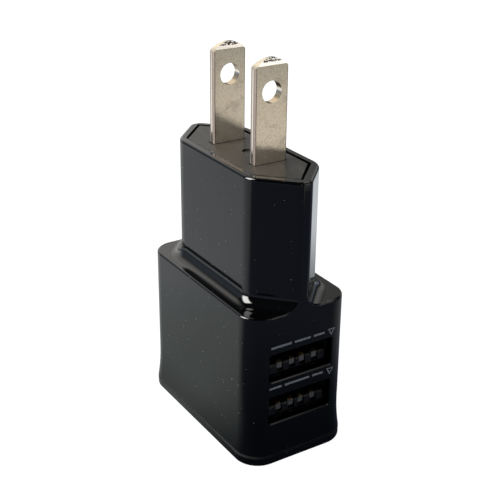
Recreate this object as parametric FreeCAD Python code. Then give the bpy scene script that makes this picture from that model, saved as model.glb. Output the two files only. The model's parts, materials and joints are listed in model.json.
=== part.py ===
import FreeCAD, Part

import math
import os

# USB wall charger with two sockets and two flat mains blades.
# Millimetres. The origin is the centre of the base, +Z points along the blades,
# X is the thickness and Y the length. The USB sockets open towards -Y.

# Driving dimensions
BLADE_SPACING = 12.7          # centre to centre, two-blade unearthed plug
BLADE_WIDTH = 6.2
BLADE_THICKNESS = 1.5
BLADE_LENGTH = 17.1           # plug face to the top of the arched tip
BLADE_CORNER_HEIGHT = 15.5    # plug face to the corners of the tip
BLADE_HOLE_RADIUS = 1.83
BLADE_HOLE_HEIGHT = 11.7
FACE_HEIGHT = 50.2            # plug face above the base
NOSE_THICKNESS = 13.7         # the nose has the outline of a flat two-pin plug
NOSE_LENGTH = 35.0
NOSE_FLAT_LENGTH = 22.8
NOSE_TIP = 18.46              # where the slanted sides would meet if they were sharp
BODY_THICKNESS = 19.8
BODY_CORNER = 4.0
SHOULDER_HEIGHT = 28.2
SEAM_HEIGHT = 1.85            # joint between the housing and its bottom cap
WALL = 1.5
FLARE = 0.5                   # how far the foot stands proud of the body
FLARE_TOP = 8.0
PORT_WIDTH = 12.5
PORT_HEIGHT = 5.12
UPPER_PORT = 18.6             # heights of the socket centres
LOWER_PORT = 10.5

# Worked out from the driving dimensions
HALF_X = BODY_THICKNESS / 2
HALF_Y = NOSE_LENGTH / 2
NOSE_X = NOSE_THICKNESS / 2
NOSE_FLAT = NOSE_FLAT_LENGTH / 2
BLADE_Y = BLADE_SPACING / 2
CAVITY_X = HALF_X - WALL
CAVITY_Y = HALF_Y - WALL
CAVITY_TOP = SHOULDER_HEIGHT - 1.7
CAVITY_CORNER = BODY_CORNER - WALL

# Housing details
COVE_RADIUS = 2.0
NOSE_CORNER = 4.4             # radius of the upright corners
NOSE_TIP_RADIUS = 2.0         # just reaches the flat ends of the body
RIM_RADIUS = 0.5
OUTER_EDGE_RADIUS = 0.35
SEAM_CHAMFER = 0.12
LEDGE_BOTTOM = FACE_HEIGHT - 4.3
LEDGE_TOP = FACE_HEIGHT - 3.0
LEDGE_WIDTH = 0.6
PORT_CORNER = 0.4
PORT_LEAD_IN = 0.2
GUIDE_RIB_WIDTH = 1.0
GUIDE_RIB_DEPTH = 1.4

# Bottom cap
CAP_EDGE_RADIUS = 0.6
CAP_LIP_HEIGHT = 2.4
CAP_LIP_WALL = 1.2
CAP_LIP_GAP = 0.1

# Blade plate, let into the nose. The groove around it is uneven.
POCKET_X = 5.57
POCKET_FLAT = 10.8
POCKET_TIP = 16.4
PLATE_SHIFT = 0.15            # how far plate and pocket lie off the middle
PLATE_SINK = 0.05
PLATE_FRONT_GAP = 0.25
PLATE_BACK_GAP = 0.47
PLATE_FLAT_GAP = 0.35
PLATE_TIP_GAP = 0.55
PLATE_EDGE = 0.15
PLATE_BOSS_DEPTH = 2.6
PLATE_BOSS_WALL = 1.4
BLADE_SLOT_GAP = 0.1
BLADE_SLOT_DEPTH = 1.2
GATE_RADIUS = 0.85
GATE_DEPTH = 0.35
GATE_NUB_RADIUS = 0.3

# Blades
BLADE_EDGE_WIDTH = 0.15       # bevelled edges, taken mostly from the narrow sides
BLADE_EDGE_DEPTH = 0.45
BLADE_TIP_BEVEL = 0.4
BLADE_TIP_BEVEL_HEIGHT = 1.1
BLADE_BAR_WIDTH = 8.2         # cross bar that locks the blade in its plate
BLADE_BAR_HEIGHT = 1.2
BLADE_TAIL_WIDTH = 3.6
BLADE_TAIL_BOTTOM = FACE_HEIGHT - 9.0

# Circuit boards
BOARD_THICKNESS = 1.0
BOARD_FRONT = -3.35           # the face of the main board that carries the tall parts
BOARD_BACK = BOARD_FRONT - BOARD_THICKNESS
BOARD_BOTTOM = 4.7
BOARD_TOP = 44.4
BOARD_WAIST = 26.3            # above this the main board narrows into the nose
BOARD_NOSE_HALF = 10.8
BOARD_END = 15.6
USB_BOARD_FRONT = -2.2
USB_BOARD_BACK = USB_BOARD_FRONT + BOARD_THICKNESS
USB_BOARD_HALF = 8.0
USB_BOARD_TOP = 24.8
ISOLATION_SLOT = (1.5, 9.5, 18.0, 18.9)   # Y from and to, Z from and to

# USB sockets
SHEET = 0.3
SOCKET_FRONT = -CAVITY_Y + 0.1
BLOCK_FRONT = -5.6
TONGUE_FRONT = -16.3
TONGUE_HALF_WIDTH = 5.55
TONGUE_TOP = -0.06            # measured from the centre of the socket
TONGUE_BOTTOM = -1.9
GROOVE_WIDTH = 1.3
GROOVE_DEPTH = 0.62
NOTCH_BACK = -15.75           # in front of this the grooves run deeper
NOTCH_BOTTOM = -1.55          # measured from the centre of the socket
SLIDE_FIT = 0.05
FINGER_WIDTH = 1.6
FINGER_LENGTH = 6.0
FINGER_REACH = 0.25
FINGER_SPREAD = 3.1
SHELL_TAB_WIDTH = 1.6
SOLDER_STICK_OUT = 0.6

# Spring contacts: the order along X and the name of each one
CONTACT_PLACES = {"power": 3.5, "data_minus": 1.0, "data_plus": -1.0, "ground": -3.5}
CONTACT_WIDTH = 1.0
CONTACT_THICKNESS = 0.25
CONTACT_ROOT = -5.95          # the hinge line of the contacts
CONTACT_BEND = -14.3
CONTACT_PEAK = -15.2
CONTACT_TIP = -15.85
CONTACT_ROOT_LIFT = 0.03      # heights above the floor of the groove
CONTACT_BEND_LIFT = 0.41
CONTACT_PEAK_LIFT = 0.72
CONTACT_TIP_LIFT = 0.52
CONTACT_LIP_BOTTOM = -1.0     # the tip turns down to here, from the centre of the socket
TAIL_GAP = 0.1
TAIL_WIDTH = 0.6

# Transformer
CORE_WIDTH = 14.0
CORE_HEIGHT = 13.0
CORE_THICKNESS = 5.0
CORE_LEG = 2.2
CORE_CENTRE_LEG = 4.0
CORE_BACK = 2.2
CORE_X = 2.4
CORE_Y = 7.3
CORE_Z = 11.3
BOBBIN_WALL = 0.6
BOBBIN_FLANGE = 0.5
WINDING_DEPTH = 1.9
TAPE_THICKNESS = 0.1
TAPE_WIDTH = 4.0

# Other parts
INPUT_CAPACITOR_RADIUS = 4.0
INPUT_CAPACITOR_LENGTH = 12.0
INPUT_CAPACITOR_Y = 6.2
INPUT_CAPACITOR_BOTTOM = 28.2
OUTPUT_CAPACITOR_RADIUS = 3.9
OUTPUT_CAPACITOR_LENGTH = 12.0
CAPACITOR_STANDOFF = 0.2
LEAD_RADIUS = 0.3
WIRE_RADIUS = 0.55
LEAD_LOOP = 2.4
CHOKE_Z = 31.4
CHOKE_CORE_LENGTH = 6.0
CHOKE_RADIUS = 2.0
CHOKE_FLANGE = 1.0
CHOKE_COIL_RADIUS = 1.7
CHOKE_TURNS = 9
RESISTOR_RADIUS = 1.5
RESISTOR_SPAN = (35.6, 43.0)
Y_CAPACITOR_RADIUS = 3.4
Y_CAPACITOR_THICKNESS = 2.4
Y_CAPACITOR_X = 5.3
Y_CAPACITOR_Y = 7.4
Y_CAPACITOR_LEADS = (0.0, 14.25)    # where its two leads come down to the main board

# Solder joints between the two boards
JOINT_COUNT = 4
JOINT_SIZE = 0.9
JOINT_LENGTH = 1.4
JOINT_PITCH = 3.0

# Moulded chips on the back of the main board: centre along Y and Z, depth, length
# along Y, width along Z, legs on each side, and whether the legs point along Y
CHIPS = {
    "bridge_rectifier": (12.3, 20.9, 2.5, 4.0, 4.6, 2, False),
    "primary_controller": (6.8, 21.3, 1.6, 4.0, 3.2, 4, True),
    "optocoupler": (1.5, 18.5, 3.4, 4.2, 4.4, 2, False),
    "output_diode": (11.4, 11.6, 2.3, 6.1, 6.2, 3, False),
}
CHIP_LIFT = 0.1
CHIP_FOOT = 0.8
CHIP_LEG_INSIDE = 0.2
CHIP_LEG_THICKNESS = 0.3

# Rows of chip resistors and capacitors: height and where each row starts along Y
CHIP_PART_SIZE = (0.5, 1.6, 0.8)
CHIP_PART_ROWS = ((24.4, 0.6), (25.4, 0.6), (31.4, -8.0), (35.0, -8.0), (38.6, -8.0))
CHIP_PART_PITCH = 2.7
CHIP_PARTS_IN_ROW = 5

# Six-legged chip on the back of the USB board
CONTROLLER_X = (-7.3, -5.4)
CONTROLLER_Z = (13.2, 16.2)
CONTROLLER_DEPTH = 1.2
CONTROLLER_FOOT = 0.6
CONTROLLER_LEG = 0.4
CONTROLLER_PITCH = 0.95


def vector(x, y, z):
    return FreeCAD.Vector(x, y, z)


def block(x0, x1, y0, y1, z0, z1):
    """A box between two opposite corners."""
    return Part.makeBox(x1 - x0, y1 - y0, z1 - z0, vector(x0, y0, z0))


def rod(start, end, radius):
    """A round rod between two points."""
    direction = end - start
    return Part.makeCylinder(radius, direction.Length, start, direction)


def bent_wire(points, radius):
    """A round wire through points, with a ball at each bend."""
    pieces = [rod(a, b, radius) for a, b in zip(points, points[1:])]
    pieces += [Part.makeSphere(radius, p) for p in points[1:-1]]
    return fuse(pieces)


def fuse(pieces):
    """One clean solid from pieces that touch."""
    whole = pieces[0]
    if len(pieces) > 1:
        whole = whole.multiFuse(pieces[1:])
    return whole.removeSplitter()


def prism(points, z0, z1):
    """A straight prism over a polygon in X and Y."""
    outline = [vector(x, y, z0) for x, y in points]
    face = Part.Face(Part.makePolygon(outline + outline[:1]))
    return face.extrude(vector(0, 0, z1 - z0))


def edges_along(shape, axis):
    """The straight edges that run along one axis (0, 1 or 2)."""
    found = []
    for edge in shape.Edges:
        if edge.Curve.TypeId != "Part::GeomLine":
            continue
        run = edge.Vertexes[-1].Point - edge.Vertexes[0].Point
        if abs(abs(run[axis]) - run.Length) < 1e-6:
            found.append(edge)
    return found


def edges_in_plane(shape, axis, level):
    """The edges whose ends and middle all lie in one plane across an axis."""
    found = []
    for edge in shape.Edges:
        middle = edge.valueAt((edge.FirstParameter + edge.LastParameter) / 2)
        points = [v.Point for v in edge.Vertexes] + [middle]
        if all(abs(p[axis] - level) < 1e-5 for p in points):
            found.append(edge)
    return found


def rounded_block(half_x, half_y, z0, z1, radius):
    """A box about the Z axis with its four upright edges rounded."""
    box = block(-half_x, half_x, -half_y, half_y, z0, z1)
    return box.makeFillet(radius, edges_along(box, 2))


def nose_points(inset=0.0):
    """The plug nose seen from above, drawn to a point at both ends and inset evenly."""
    run = math.hypot(NOSE_X, NOSE_TIP - NOSE_FLAT)
    normal_x = (NOSE_TIP - NOSE_FLAT) / run
    normal_y = NOSE_X / run
    reach = normal_x * NOSE_X + normal_y * NOSE_FLAT - inset
    side = NOSE_X - inset
    flat = (reach - normal_x * side) / normal_y
    tip = reach / normal_y
    return [(side, -flat), (side, flat), (0, tip), (-side, flat), (-side, -flat), (0, -tip)]


def plate_points(front, back, flat, tip):
    """A hexagon for the blade plate or its pocket, a little off the middle of the nose."""
    flats = (PLATE_SHIFT - flat, PLATE_SHIFT + flat)
    return [(back, flats[0]), (back, flats[1]), (0, PLATE_SHIFT + tip),
            (front, flats[1]), (front, flats[0]), (0, PLATE_SHIFT - tip)]


def body_outline_block(z0, z1):
    return rounded_block(HALF_X, HALF_Y, z0, z1, BODY_CORNER)


def make_flare():
    """The band that carries the sides outwards in one long curve towards the foot."""
    drop = FLARE_TOP - SEAM_HEIGHT
    radius = (FLARE ** 2 + drop ** 2) / (2 * FLARE)
    angle = math.asin(drop / radius) / 2
    middle = (radius * (1 - math.cos(angle)), FLARE_TOP - radius * math.sin(angle))
    side_x = HALF_X - BODY_CORNER
    side_y = HALF_Y - BODY_CORNER

    def profile(x):
        """The band's section in the XZ plane, with its inner side on x."""
        top = vector(x, 0, FLARE_TOP)
        foot_in = vector(x, 0, SEAM_HEIGHT)
        foot_out = vector(x + FLARE, 0, SEAM_HEIGHT)
        bulge = vector(x + middle[0], 0, middle[1])
        sweep = Part.Arc(foot_out, bulge, top).toShape()
        straight = [Part.makeLine(top, foot_in), Part.makeLine(foot_in, foot_out)]
        return Part.Face(Part.Wire(straight + [sweep]))

    corner = profile(BODY_CORNER).revolve(vector(0, 0, 0), vector(0, 0, 1), 90)
    long_side = profile(0).extrude(vector(0, 2 * side_y, 0))
    short_side = profile(0).extrude(vector(0, 2 * side_x, 0))
    band = []
    for turn in range(4):
        angle = 90 * turn
        sign_x = 1 if turn in (0, 3) else -1
        sign_y = 1 if turn in (0, 1) else -1
        piece = corner.copy()
        piece.rotate(vector(0, 0, 0), vector(0, 0, 1), angle)
        piece.translate(vector(sign_x * side_x, sign_y * side_y, 0))
        band.append(piece)
        side = (short_side if turn % 2 else long_side).copy()
        half_run = side_x if turn % 2 else side_y
        outward = HALF_Y if turn % 2 else HALF_X
        side.translate(vector(outward, -half_run, 0))
        side.rotate(vector(0, 0, 0), vector(0, 0, 1), angle)
        band.append(side)
    return band


def make_outer_form():
    """The outside of the housing: nose, cove, flat shoulder, body and flare."""
    nose = prism(nose_points(), SHOULDER_HEIGHT - 5, FACE_HEIGHT)
    corners = [e for e in edges_along(nose, 2) if abs(e.Vertexes[0].X) > NOSE_X / 2]
    nose = nose.makeFillet(NOSE_CORNER, corners)
    tips = [e for e in edges_along(nose, 2) if abs(e.Vertexes[0].X) < 1e-6]
    nose = nose.makeFillet(NOSE_TIP_RADIUS, tips)

    slab_reach = 2 * HALF_Y
    slab = block(-slab_reach, slab_reach, -slab_reach, slab_reach,
                 SHOULDER_HEIGHT - 5, SHOULDER_HEIGHT)
    form = fuse([slab, nose])
    root = [e for e in edges_in_plane(form, 2, SHOULDER_HEIGHT)
            if e.BoundBox.XLength < slab_reach]
    form = form.makeFillet(COVE_RADIUS, root)
    form = form.common(body_outline_block(SHOULDER_HEIGHT - 2, FACE_HEIGHT))

    # The edge of the shoulder, the ends of the cove and the upright edges of the
    # narrow flats at the nose ends are one smooth chain, so one radius runs along it.
    chain = [e for level in (-HALF_Y, HALF_Y) for e in edges_in_plane(form, 1, level)
             if min(v.Z for v in e.Vertexes) > SHOULDER_HEIGHT - 0.01
             and max(v.Z for v in e.Vertexes) < FACE_HEIGHT - 0.01]
    form = form.makeFillet(OUTER_EDGE_RADIUS, chain)
    return form.makeFillet(RIM_RADIUS, edges_in_plane(form, 2, FACE_HEIGHT))


def make_housing():
    """The one-piece shell, open at the base and with a pocket for the blade plate."""
    body = body_outline_block(SEAM_HEIGHT, SHOULDER_HEIGHT - 1)
    shell = fuse([make_outer_form(), body] + make_flare())
    shell = shell.makeChamfer(SEAM_CHAMFER, edges_in_plane(shell, 2, SEAM_HEIGHT))

    cavity = rounded_block(CAVITY_X, CAVITY_Y, SEAM_HEIGHT - 1, CAVITY_TOP, CAVITY_CORNER)
    nose_hollow = prism(nose_points(WALL), CAVITY_TOP - 1, LEDGE_BOTTOM)
    throat = prism(nose_points(WALL + LEDGE_WIDTH), LEDGE_BOTTOM - 1, LEDGE_TOP + 1)
    pocket = prism(plate_points(-POCKET_X, POCKET_X, POCKET_FLAT, POCKET_TIP),
                   LEDGE_TOP, FACE_HEIGHT + 1)
    shell = shell.cut(fuse([cavity, nose_hollow, throat, pocket]))
    return cut_ports(add_guide_ribs(shell))


def add_guide_ribs(shell):
    """Two upright ribs that hold the free edge of the main board."""
    ribs = []
    for x0 in (BOARD_BACK - SLIDE_FIT - GUIDE_RIB_WIDTH, BOARD_FRONT + SLIDE_FIT):
        ribs.append(block(x0, x0 + GUIDE_RIB_WIDTH, CAVITY_Y - GUIDE_RIB_DEPTH,
                          CAVITY_Y + WALL / 2, BOARD_BOTTOM, CAVITY_TOP + WALL / 2))
    return fuse([shell] + ribs)


def cut_ports(shell):
    """The two socket openings, with small corner radii and a lead-in."""
    for height in (UPPER_PORT, LOWER_PORT):
        low, high = height - PORT_HEIGHT / 2, height + PORT_HEIGHT / 2
        opening = block(-PORT_WIDTH / 2, PORT_WIDTH / 2, -HALF_Y - 2, -CAVITY_Y + 1, low, high)
        opening = opening.makeFillet(PORT_CORNER, edges_along(opening, 1))
        shell = shell.cut(opening)
    mouths = [e for e in edges_in_plane(shell, 1, -HALF_Y)
              if max(abs(v.X) for v in e.Vertexes) < PORT_WIDTH / 2 + 0.01
              and LOWER_PORT - PORT_HEIGHT < e.CenterOfMass.z < UPPER_PORT + PORT_HEIGHT]
    return shell.makeChamfer(PORT_LEAD_IN, mouths)


def make_bottom_cap():
    """The closing cap, with a lip that locates inside the housing."""
    cap = rounded_block(HALF_X + FLARE, HALF_Y + FLARE, 0, SEAM_HEIGHT, BODY_CORNER + FLARE)
    cap = cap.makeChamfer(SEAM_CHAMFER, edges_in_plane(cap, 2, SEAM_HEIGHT))
    cap = cap.makeFillet(CAP_EDGE_RADIUS, edges_in_plane(cap, 2, 0))
    lip_top = SEAM_HEIGHT + CAP_LIP_HEIGHT
    lip_x, lip_y = CAVITY_X - CAP_LIP_GAP, CAVITY_Y - CAP_LIP_GAP
    lip = rounded_block(lip_x, lip_y, SEAM_HEIGHT - 0.5, lip_top, CAVITY_CORNER - CAP_LIP_GAP)
    inside = rounded_block(lip_x - CAP_LIP_WALL, lip_y - CAP_LIP_WALL, SEAM_HEIGHT,
                           lip_top + 1, CAVITY_CORNER - CAP_LIP_WALL)
    return fuse([cap, lip.cut(inside)])


def blade_outline(width, tip_height, corner_height):
    """A blade seen from its broad side, from the plug face up to the arched tip."""
    half = width / 2
    low_left = vector(-half, 0, 0)
    low_right = vector(half, 0, 0)
    left = vector(-half, 0, corner_height)
    right = vector(half, 0, corner_height)
    arch = Part.Arc(right, vector(0, 0, tip_height), left).toShape()
    sides = [Part.makeLine(left, low_left), Part.makeLine(low_left, low_right),
             Part.makeLine(low_right, right)]
    return Part.Face(Part.Wire(sides + [arch]))


def blade_section():
    """A blade cut across: a rectangle with bevelled corners."""
    half_x, half_y = BLADE_WIDTH / 2, BLADE_THICKNESS / 2
    flat_x, flat_y = half_x - BLADE_EDGE_WIDTH, half_y - BLADE_EDGE_DEPTH
    return [(half_x, -flat_y), (half_x, flat_y), (flat_x, half_y), (-flat_x, half_y),
            (-half_x, flat_y), (-half_x, -flat_y), (-flat_x, -half_y), (flat_x, -half_y)]


def make_blade(side):
    """One mains blade. side is -1 for the one nearer the sockets and +1 for the other."""
    half_thickness = BLADE_THICKNESS / 2
    blade = blade_outline(BLADE_WIDTH, BLADE_LENGTH, BLADE_CORNER_HEIGHT)
    blade = blade.extrude(vector(0, BLADE_THICKNESS, 0))
    blade.translate(vector(0, -half_thickness, 0))
    blade = blade.common(prism(blade_section(), 0, BLADE_LENGTH))

    # The tip is stamped thinner with one bevel on each broad face.
    bevel_bottom = BLADE_LENGTH - BLADE_TIP_BEVEL_HEIGHT
    for face in (-1, 1):
        points = [vector(-BLADE_WIDTH, face * half_thickness, bevel_bottom),
                  vector(-BLADE_WIDTH, face * (half_thickness - BLADE_TIP_BEVEL), BLADE_LENGTH),
                  vector(-BLADE_WIDTH, face * half_thickness * 2, BLADE_LENGTH),
                  vector(-BLADE_WIDTH, face * half_thickness * 2, bevel_bottom)]
        wedge = Part.Face(Part.makePolygon(points + points[:1]))
        blade = blade.cut(wedge.extrude(vector(2 * BLADE_WIDTH, 0, 0)))

    hole = Part.makeCylinder(BLADE_HOLE_RADIUS, 2 * BLADE_THICKNESS,
                             vector(0, -BLADE_THICKNESS, BLADE_HOLE_HEIGHT), vector(0, 1, 0))
    blade = blade.cut(hole)
    blade.translate(vector(0, side * BLADE_Y, FACE_HEIGHT))

    y0 = side * BLADE_Y - half_thickness
    y1 = side * BLADE_Y + half_thickness
    bar_bottom = LEDGE_TOP - BLADE_BAR_HEIGHT
    half = BLADE_WIDTH / 2 - BLADE_EDGE_WIDTH
    stem = block(-half, half, y0, y1, LEDGE_TOP - 0.5, FACE_HEIGHT)
    bar = block(-BLADE_BAR_WIDTH / 2, BLADE_BAR_WIDTH / 2, y0, y1, bar_bottom, LEDGE_TOP)
    tail = block(-BLADE_TAIL_WIDTH / 2, BLADE_TAIL_WIDTH / 2, y0, y1,
                 BLADE_TAIL_BOTTOM, bar_bottom + 0.1)
    return fuse([blade, stem, bar, tail])


def make_blade_plate(blades):
    """The plate that carries both blades, set into the top of the nose."""
    outline = plate_points(PLATE_FRONT_GAP - POCKET_X, POCKET_X - PLATE_BACK_GAP,
                           POCKET_FLAT - PLATE_FLAT_GAP, POCKET_TIP - PLATE_TIP_GAP)
    top = FACE_HEIGHT - PLATE_SINK
    plate = prism(outline, LEDGE_TOP, top)
    plate = plate.makeFillet(PLATE_EDGE, edges_in_plane(plate, 2, top))

    throat_side = nose_points(WALL + LEDGE_WIDTH)[0][0] - SLIDE_FIT
    for blade_side in (-1, 1):
        y = blade_side * BLADE_Y
        plate = fuse([plate, block(-throat_side, throat_side, y - PLATE_BOSS_WALL - 1,
                                   y + PLATE_BOSS_WALL + 1, LEDGE_TOP - PLATE_BOSS_DEPTH,
                                   LEDGE_TOP + 1)])
        half_x = BLADE_WIDTH / 2 + BLADE_SLOT_GAP
        half_y = BLADE_THICKNESS / 2 + BLADE_SLOT_GAP
        plate = plate.cut(block(-half_x, half_x, y - half_y, y + half_y,
                                top - BLADE_SLOT_DEPTH, top + 1))
        plate = plate.cut(block(-half_x + BLADE_SLOT_GAP, half_x - BLADE_SLOT_GAP,
                                y - BLADE_THICKNESS / 2, y + BLADE_THICKNESS / 2,
                                LEDGE_TOP, top + 1))
    for blade in blades:
        plate = plate.cut(blade)

    dish = Part.makeCylinder(GATE_RADIUS, GATE_DEPTH + 1, vector(0, 0, top - GATE_DEPTH))
    nub = Part.makeCone(GATE_NUB_RADIUS, GATE_NUB_RADIUS / 2, GATE_DEPTH - 0.05,
                        vector(0, 0, top - GATE_DEPTH))
    return fuse([plate.cut(dish), nub])


def make_blade_lead(side):
    """The insulated wire from a blade's tail to the main board."""
    y = side * (BLADE_Y - BLADE_THICKNESS / 2)
    y_turn = y - side * LEAD_LOOP
    height = BLADE_TAIL_BOTTOM + 2 * WIRE_RADIUS
    return bent_wire([vector(0, y, height), vector(0, y_turn, height),
                      vector(BOARD_FRONT, y_turn, height)], WIRE_RADIUS)


def make_main_board():
    """The upright board: wide beside the transformer, narrower inside the nose."""
    low = block(BOARD_BACK, BOARD_FRONT, USB_BOARD_BACK, BOARD_END, BOARD_BOTTOM, BOARD_WAIST)
    high = block(BOARD_BACK, BOARD_FRONT, -BOARD_NOSE_HALF, BOARD_NOSE_HALF,
                 BOARD_WAIST - 1, BOARD_TOP)
    board = fuse([low, high])
    board = board.cut(block(BOARD_BACK - 1, BOARD_FRONT + 1, *ISOLATION_SLOT))
    for height in (UPPER_PORT, LOWER_PORT):
        tail = groove_floor(height) + CONTACT_ROOT_LIFT
        board = board.cut(block(BOARD_BACK - 1, BOARD_FRONT + 1, USB_BOARD_BACK - 1,
                                USB_BOARD_BACK + SOLDER_STICK_OUT + 0.3,
                                tail - 0.3, tail + CONTACT_THICKNESS + 0.3))
    return board


def make_usb_board():
    """The small board across the housing that carries both sockets."""
    return block(-USB_BOARD_HALF, USB_BOARD_HALF, USB_BOARD_FRONT, USB_BOARD_BACK,
                 BOARD_BOTTOM, USB_BOARD_TOP)


def make_board_solder_joints():
    """Four solder fillets that join the two boards at a right angle."""
    joints = []
    for index in range(JOINT_COUNT):
        corner = vector(BOARD_FRONT, USB_BOARD_BACK, BOARD_BOTTOM + 0.5 + JOINT_PITCH * index)
        points = [corner, corner + vector(JOINT_SIZE, 0, 0), corner + vector(0, JOINT_SIZE, 0)]
        face = Part.Face(Part.makePolygon(points + points[:1]))
        joints.append(face.extrude(vector(0, 0, JOINT_LENGTH)))
    return Part.makeCompound(joints)


def make_socket_shell(height):
    """The steel tube of one socket, with four grip fingers and two solder tabs."""
    half_x, half_z = PORT_WIDTH / 2, PORT_HEIGHT / 2
    outer = block(-half_x - SHEET, half_x + SHEET, SOCKET_FRONT, USB_BOARD_FRONT,
                  height - half_z - SHEET, height + half_z + SHEET)
    outer = outer.makeFillet(PORT_CORNER + SHEET, edges_along(outer, 1))
    inner = block(-half_x, half_x, SOCKET_FRONT - 1, USB_BOARD_FRONT + 1,
                  height - half_z, height + half_z)
    inner = inner.makeFillet(PORT_CORNER, edges_along(inner, 1))
    shell = outer.cut(inner)

    finger_root = SOCKET_FRONT + 1.6
    finger_end = finger_root + FINGER_LENGTH
    for x in (-FINGER_SPREAD, FINGER_SPREAD):
        for up in (-1, 1):
            wall = height + up * (half_z + SHEET / 2)
            window = block(x - FINGER_WIDTH, x + FINGER_WIDTH, finger_root, finger_end,
                           wall - SHEET, wall + SHEET)
            shell = shell.cut(window)
            inner_z = height + up * (half_z - FINGER_REACH)
            outer_z = height + up * half_z
            points = [vector(x - FINGER_WIDTH / 2, finger_root - 0.2, outer_z),
                      vector(x - FINGER_WIDTH / 2, finger_end - 1.0, inner_z),
                      vector(x - FINGER_WIDTH / 2, finger_end - 0.3, outer_z),
                      vector(x - FINGER_WIDTH / 2, finger_end - 0.3, outer_z + up * SHEET),
                      vector(x - FINGER_WIDTH / 2, finger_end - 1.0, inner_z + up * SHEET),
                      vector(x - FINGER_WIDTH / 2, finger_root - 0.2, outer_z + up * SHEET)]
            face = Part.Face(Part.makePolygon(points + points[:1]))
            shell = fuse([shell, face.extrude(vector(FINGER_WIDTH, 0, 0))])

    tabs = [block(x - SHEET, x, USB_BOARD_FRONT - 0.5, USB_BOARD_BACK + SOLDER_STICK_OUT,
                  height - SHELL_TAB_WIDTH / 2, height + SHELL_TAB_WIDTH / 2)
            for x in (-half_x, half_x + SHEET)]
    return fuse([shell] + tabs)


def groove_floor(height):
    return height + TONGUE_TOP - GROOVE_DEPTH


def make_socket_insulator(height):
    """The black moulding of one socket: a rear block and a grooved tongue."""
    half_x = PORT_WIDTH / 2 - SLIDE_FIT
    half_z = PORT_HEIGHT / 2 - SLIDE_FIT
    rear = block(-half_x, half_x, BLOCK_FRONT, USB_BOARD_FRONT, height - half_z, height + half_z)
    rear = rear.makeFillet(PORT_CORNER, edges_along(rear, 1))
    tongue = block(-TONGUE_HALF_WIDTH, TONGUE_HALF_WIDTH, TONGUE_FRONT, BLOCK_FRONT + 1,
                   height + TONGUE_BOTTOM, height + TONGUE_TOP)
    front_edges = [e for e in edges_along(tongue, 0)
                   if abs(e.Vertexes[0].Y - TONGUE_FRONT) < 1e-6]
    tongue = tongue.makeChamfer(0.25, front_edges)
    moulding = fuse([rear, tongue])
    floor = groove_floor(height)
    for x in CONTACT_PLACES.values():
        left, right = x - GROOVE_WIDTH / 2, x + GROOVE_WIDTH / 2
        moulding = moulding.cut(block(left, right, TONGUE_FRONT - 1, BLOCK_FRONT,
                                      floor, height + 1))
        moulding = moulding.cut(block(left, right, TONGUE_FRONT - 1, NOTCH_BACK,
                                      height + NOTCH_BOTTOM, height + 1))
        moulding = moulding.cut(make_contact_tail(x, height))
    return moulding


def make_contact(x, height):
    """One spring contact: a thin strip that rises to a rounded peak, with its end turned down."""
    floor = groove_floor(height)
    low = [vector(x, CONTACT_ROOT, floor + CONTACT_ROOT_LIFT),
           vector(x, CONTACT_BEND, floor + CONTACT_BEND_LIFT),
           vector(x, CONTACT_PEAK, floor + CONTACT_PEAK_LIFT),
           vector(x, CONTACT_TIP, floor + CONTACT_TIP_LIFT)]
    high = [p + vector(0, 0, CONTACT_THICKNESS) for p in low]
    high[3] = low[3] + vector(0, -CONTACT_THICKNESS, CONTACT_THICKNESS / 2)
    lip_back = vector(x, CONTACT_TIP, height + CONTACT_LIP_BOTTOM)
    lip_front = lip_back - vector(0, CONTACT_THICKNESS, 0)
    outline = [Part.makeLine(low[0], low[1]),
               Part.Arc(low[1], low[2], low[3]).toShape(),
               Part.makeLine(low[3], lip_back),
               Part.makeLine(lip_back, lip_front),
               Part.makeLine(lip_front, high[3]),
               Part.Arc(high[3], high[2], high[1]).toShape(),
               Part.makeLine(high[1], high[0]),
               Part.makeLine(high[0], low[0])]
    strip = Part.Face(Part.Wire(outline)).extrude(vector(CONTACT_WIDTH, 0, 0))
    strip.translate(vector(-CONTACT_WIDTH / 2, 0, 0))
    return strip


def make_contact_tail(x, height):
    """The fixed end of one contact, through the insulator and the USB board."""
    floor = groove_floor(height) + CONTACT_ROOT_LIFT
    wide = block(x - CONTACT_WIDTH / 2, x + CONTACT_WIDTH / 2, CONTACT_ROOT + TAIL_GAP,
                 BLOCK_FRONT + 1.5, floor, floor + CONTACT_THICKNESS)
    narrow = block(x - TAIL_WIDTH / 2, x + TAIL_WIDTH / 2, BLOCK_FRONT + 1.4,
                   USB_BOARD_BACK + SOLDER_STICK_OUT, floor, floor + CONTACT_THICKNESS)
    return fuse([wide, narrow])


def make_transformer_core():
    """Two E shaped ferrite halves that meet in the middle."""
    y0, y1 = CORE_Y - CORE_WIDTH / 2, CORE_Y + CORE_WIDTH / 2
    x0, x1 = CORE_X - CORE_THICKNESS / 2, CORE_X + CORE_THICKNESS / 2
    halves = []
    for up in (-1, 1):
        far = CORE_Z + up * CORE_HEIGHT / 2
        low, high = min(CORE_Z, far), max(CORE_Z, far)
        half = block(x0, x1, y0, y1, low, high)
        window_end = CORE_Z + up * (CORE_HEIGHT / 2 - CORE_BACK)
        for side in (-1, 1):
            inner = CORE_Y + side * CORE_CENTRE_LEG / 2
            outer = CORE_Y + side * (CORE_WIDTH / 2 - CORE_LEG)
            half = half.cut(block(x0 - 1, x1 + 1, min(inner, outer), max(inner, outer),
                                  min(CORE_Z - up, window_end), max(CORE_Z - up, window_end)))
        halves.append(half)
    return Part.makeCompound(halves)


def bobbin_frame(margin, z0, z1):
    """A rectangular block about the centre leg, grown by a margin."""
    half_y = CORE_CENTRE_LEG / 2 + margin
    half_x = CORE_THICKNESS / 2 + margin
    return block(CORE_X - half_x, CORE_X + half_x, CORE_Y - half_y, CORE_Y + half_y, z0, z1)


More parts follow.
